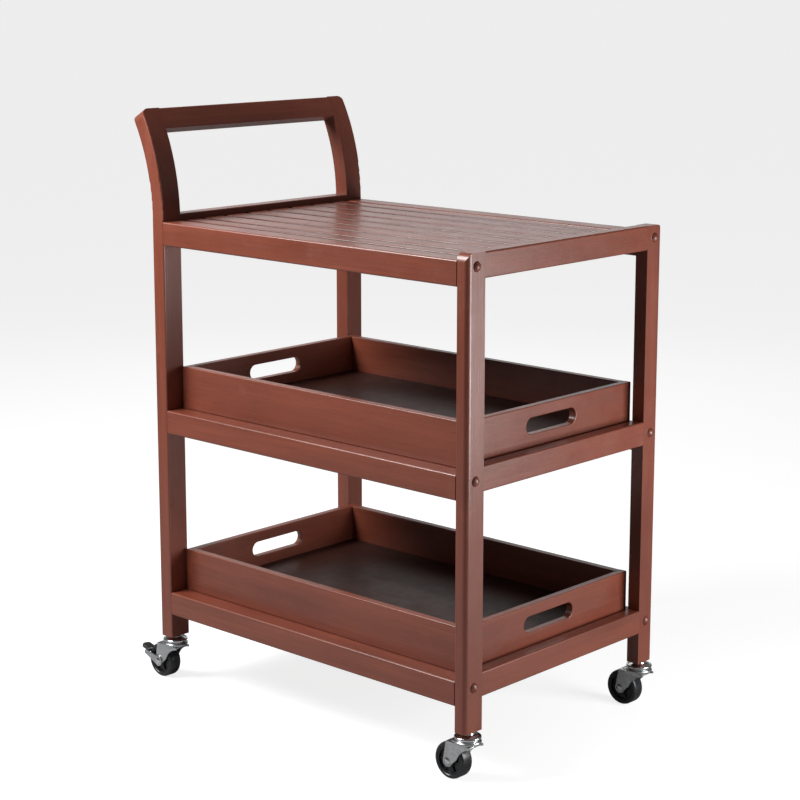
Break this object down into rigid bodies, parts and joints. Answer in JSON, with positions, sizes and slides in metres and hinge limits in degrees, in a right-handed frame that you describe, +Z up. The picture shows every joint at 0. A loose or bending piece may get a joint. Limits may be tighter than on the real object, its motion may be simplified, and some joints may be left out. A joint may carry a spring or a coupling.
{
  "type": "kitchen island cart",
  "caption": "Wooden kitchen cart on swivel casters, with a slatted top, push bar at one end, hanging stemware rack and lift-out trays on open shelves.",
  "frame": {"origin": "on the floor, under the middle of the outline's box", "axes": "+Z up; +X towards the end without the push bar; +Y across the cart, away from the near side"},
  "size_m": [0.6869, 0.424, 0.873],
  "materials": {
    "stained_wood": "satin walnut stain",
    "tray_wood": "satin walnut stain",
    "panel_wood": "gloss walnut stain",
    "plug_wood": "satin walnut stain",
    "raw_beech": "raw",
    "zinc_steel": "zinc plated",
    "bright_zinc": "bright plated",
    "black_wheel": "semi-gloss",
    "pedal_plastic": "ribbed matt"
  },
  "bodies": {
    "root": {"post_plain_near": "stained_wood", "post_handle_near": "stained_wood", "post_plain_far": "stained_wood", "post_handle_far": "stained_wood", "handle_bar": "stained_wood", "end_rail_handle_low": "stained_wood", "end_rail_plain_low": "stained_wood", "side_rail_near_low": "stained_wood", "side_rail_far_low": "stained_wood", "end_rail_handle_mid": "stained_wood", "end_rail_plain_mid": "stained_wood", "side_rail_near_mid": "stained_wood", "side_rail_far_mid": "stained_wood", "end_rail_handle_top": "stained_wood", "end_rail_plain_top": "stained_wood", "side_rail_near_top": "stained_wood", "side_rail_far_top": "stained_wood", "top_slats": "stained_wood", "top_battens": "stained_wood", "stem_rack_webs": "stained_wood", "stem_rack_strips": "stained_wood", "shelf_slats_low": "stained_wood", "shelf_slats_mid": "stained_wood", "shelf_cleats": "stained_wood", "bolts": "zinc_steel", "barrel_nuts": "zinc_steel", "dowels": "raw_beech", "dome_plugs": "plug_wood", "caster_sleeves": "zinc_steel", "caster_stem_handle_near": "bright_zinc", "caster_stem_handle_far": "bright_zinc", "caster_stem_plain_near": "bright_zinc", "caster_stem_plain_far": "bright_zinc"},
    "tray_low": {"tray_low_side_near": "tray_wood", "tray_low_side_far": "tray_wood", "tray_low_end_handle": "tray_wood", "tray_low_end_plain": "tray_wood", "tray_low_panel": "panel_wood"},
    "tray_mid": {"tray_mid_side_near": "tray_wood", "tray_mid_side_far": "tray_wood", "tray_mid_end_handle": "tray_wood", "tray_mid_end_plain": "tray_wood", "tray_mid_panel": "panel_wood"},
    "fork_handle_near": {"caster_fork_handle_near": "zinc_steel", "caster_axle_handle_near": "zinc_steel"},
    "wheel_handle_near": {"caster_wheel_handle_near": "black_wheel"},
    "brake_handle_near": {"brake_lever_handle_near": "zinc_steel", "brake_pedal_handle_near": "pedal_plastic"},
    "fork_handle_far": {"caster_fork_handle_far": "zinc_steel", "caster_axle_handle_far": "zinc_steel"},
    "wheel_handle_far": {"caster_wheel_handle_far": "black_wheel"},
    "brake_handle_far": {"brake_lever_handle_far": "zinc_steel", "brake_pedal_handle_far": "pedal_plastic"},
    "fork_plain_near": {"caster_fork_plain_near": "zinc_steel", "caster_axle_plain_near": "zinc_steel"},
    "wheel_plain_near": {"caster_wheel_plain_near": "black_wheel"},
    "fork_plain_far": {"caster_fork_plain_far": "zinc_steel", "caster_axle_plain_far": "zinc_steel"},
    "wheel_plain_far": {"caster_wheel_plain_far": "black_wheel"}
  },
  "joints": [
    {"name": "tray_low_slide", "type": "slide", "parent": "root", "child": "tray_low", "axis": [0, 1, 0], "range_m": [-0.2, 0.2]},
    {"name": "tray_mid_slide", "type": "slide", "parent": "root", "child": "tray_mid", "axis": [0, 1, 0], "range_m": [-0.2, 0.2]},
    {"name": "swivel_handle_near", "type": "hinge", "parent": "root", "child": "fork_handle_near", "pos_m": [-0.2696, -0.193, 0.06], "axis": [0, 0, 1], "continuous": true},
    {"name": "roll_handle_near", "type": "hinge", "parent": "fork_handle_near", "child": "wheel_handle_near", "pos_m": [-0.2946, -0.193, 0.026], "axis": [0, 1, 0], "continuous": true},
    {"name": "brake_handle_near", "type": "hinge", "parent": "fork_handle_near", "child": "brake_handle_near", "pos_m": [-0.2946, -0.193, 0.026], "axis": [0, 1, 0], "range_deg": [-16, 0]},
    {"name": "swivel_handle_far", "type": "hinge", "parent": "root", "child": "fork_handle_far", "pos_m": [-0.2696, 0.193, 0.06], "axis": [0, 0, 1], "continuous": true},
    {"name": "roll_handle_far", "type": "hinge", "parent": "fork_handle_far", "child": "wheel_handle_far", "pos_m": [-0.2946, 0.193, 0.026], "axis": [0, 1, 0], "continuous": true},
    {"name": "brake_handle_far", "type": "hinge", "parent": "fork_handle_far", "child": "brake_handle_far", "pos_m": [-0.2946, 0.193, 0.026], "axis": [0, 1, 0], "range_deg": [-16, 0]},
    {"name": "swivel_plain_near", "type": "hinge", "parent": "root", "child": "fork_plain_near", "pos_m": [0.3244, -0.193, 0.06], "axis": [0, 0, 1], "continuous": true},
    {"name": "roll_plain_near", "type": "hinge", "parent": "fork_plain_near", "child": "wheel_plain_near", "pos_m": [0.2994, -0.193, 0.026], "axis": [0, 1, 0], "continuous": true},
    {"name": "swivel_plain_far", "type": "hinge", "parent": "root", "child": "fork_plain_far", "pos_m": [0.3244, 0.193, 0.06], "axis": [0, 0, 1], "continuous": true},
    {"name": "roll_plain_far", "type": "hinge", "parent": "fork_plain_far", "child": "wheel_plain_far", "pos_m": [0.2994, 0.193, 0.026], "axis": [0, 1, 0], "continuous": true}
  ]
}
